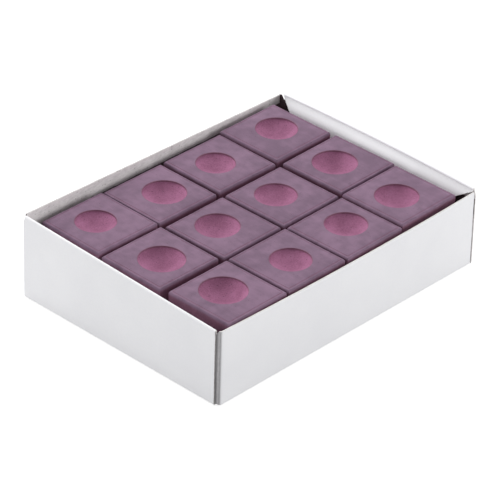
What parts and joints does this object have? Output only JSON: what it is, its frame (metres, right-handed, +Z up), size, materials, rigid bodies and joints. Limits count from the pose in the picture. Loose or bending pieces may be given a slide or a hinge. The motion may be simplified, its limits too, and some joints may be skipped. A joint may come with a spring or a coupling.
{
  "type": "carton of cue chalk cubes",
  "caption": "Open paperboard carton tray filled with pressed cue chalk cubes, each with a shallow dimple for the cue tip, and each free to be lifted out.",
  "frame": {"origin": "on the ground, under the middle of the tray", "axes": "+X along the tray's long side from its left end to its right end, +Y from its near side to its far side, +Z up out of the open tray"},
  "size_m": [0.1024, 0.0746, 0.0268],
  "materials": {
    "chalk": "pressed, dusty, matte",
    "label_paper": "uncoated",
    "white_board": "clay-coated, satin",
    "grey_board": "bare grey board, matte"
  },
  "bodies": {
    "tray": {"side_near": "white_board", "side_far": "white_board", "end_left": "white_board", "end_right": "white_board", "liner_left": "white_board", "liner_right": "white_board", "flap_near_left": "grey_board", "flap_near_right": "grey_board", "flap_far_left": "grey_board", "flap_far_right": "grey_board", "floor": "grey_board"},
    "cube_a1": {"chalk_a1": "chalk", "label_a1": "label_paper"},
    "cube_a2": {"chalk_a2": "chalk", "label_a2": "label_paper"},
    "cube_a3": {"chalk_a3": "chalk", "label_a3": "label_paper"},
    "cube_b1": {"chalk_b1": "chalk", "label_b1": "label_paper"},
    "cube_b2": {"chalk_b2": "chalk", "label_b2": "label_paper"},
    "cube_b3": {"chalk_b3": "chalk", "label_b3": "label_paper"},
    "cube_c1": {"chalk_c1": "chalk", "label_c1": "label_paper"},
    "cube_c2": {"chalk_c2": "chalk", "label_c2": "label_paper"},
    "cube_c3": {"chalk_c3": "chalk", "label_c3": "label_paper"},
    "cube_d1": {"chalk_d1": "chalk", "label_d1": "label_paper"},
    "cube_d2": {"chalk_d2": "chalk", "label_d2": "label_paper"},
    "cube_d3": {"chalk_d3": "chalk", "label_d3": "label_paper"}
  },
  "joints": [
    {"name": "lift_a1", "type": "slide", "parent": "tray", "child": "cube_a1", "axis": [0, 0, 1], "range_m": [0, 0.03]},
    {"name": "lift_a2", "type": "slide", "parent": "tray", "child": "cube_a2", "axis": [0, 0, 1], "range_m": [0, 0.03]},
    {"name": "lift_a3", "type": "slide", "parent": "tray", "child": "cube_a3", "axis": [0, 0, 1], "range_m": [0, 0.03]},
    {"name": "lift_b1", "type": "slide", "parent": "tray", "child": "cube_b1", "axis": [0, 0, 1], "range_m": [0, 0.03]},
    {"name": "lift_b2", "type": "slide", "parent": "tray", "child": "cube_b2", "axis": [0, 0, 1], "range_m": [0, 0.03]},
    {"name": "lift_b3", "type": "slide", "parent": "tray", "child": "cube_b3", "axis": [0, 0, 1], "range_m": [0, 0.03]},
    {"name": "lift_c1", "type": "slide", "parent": "tray", "child": "cube_c1", "axis": [0, 0, 1], "range_m": [0, 0.03]},
    {"name": "lift_c2", "type": "slide", "parent": "tray", "child": "cube_c2", "axis": [0, 0, 1], "range_m": [0, 0.03]},
    {"name": "lift_c3", "type": "slide", "parent": "tray", "child": "cube_c3", "axis": [0, 0, 1], "range_m": [0, 0.03]},
    {"name": "lift_d1", "type": "slide", "parent": "tray", "child": "cube_d1", "axis": [0, 0, 1], "range_m": [0, 0.03]},
    {"name": "lift_d2", "type": "slide", "parent": "tray", "child": "cube_d2", "axis": [0, 0, 1], "range_m": [0, 0.03]},
    {"name": "lift_d3", "type": "slide", "parent": "tray", "child": "cube_d3", "axis": [0, 0, 1], "range_m": [0, 0.03]}
  ]
}
